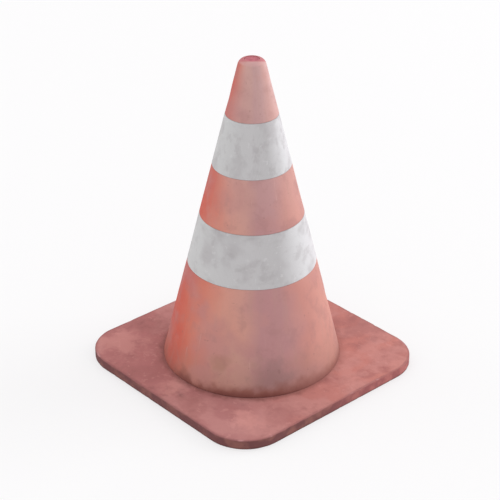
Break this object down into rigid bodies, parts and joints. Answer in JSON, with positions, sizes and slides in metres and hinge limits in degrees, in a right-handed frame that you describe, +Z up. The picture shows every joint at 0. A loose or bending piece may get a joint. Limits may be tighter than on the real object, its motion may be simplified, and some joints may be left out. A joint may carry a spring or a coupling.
{
  "type": "traffic cone",
  "caption": "Traffic cone: a hollow tapered shell with slip-on reflective sleeves and a tip plug, pushed into a heavy rounded-square base.",
  "frame": {"origin": "on the ground, at the middle of the base, on the cone's axis", "axes": "+Z up along the cone's axis, towards the tip; +X and +Y square to the sides of the base"},
  "size_m": [0.385, 0.385, 0.5],
  "materials": {
    "base_compound": "matte",
    "shell_plastic": "matte",
    "reflective_sheeting": "satin",
    "plug_plastic": "matte"
  },
  "bodies": {
    "base": {"base_plate": "base_compound"},
    "cone": {"cone_shell": "shell_plastic", "lower_sleeve": "reflective_sheeting", "upper_sleeve": "reflective_sheeting"},
    "plug": {"tip_plug": "plug_plastic"}
  },
  "joints": [
    {"name": "cone_lift", "type": "slide", "parent": "base", "child": "cone", "axis": [0, 0, 1], "range_m": [0, 0.06]},
    {"name": "plug_pull", "type": "slide", "parent": "cone", "child": "plug", "axis": [0, 0, 1], "range_m": [0, 0.04]}
  ]
}
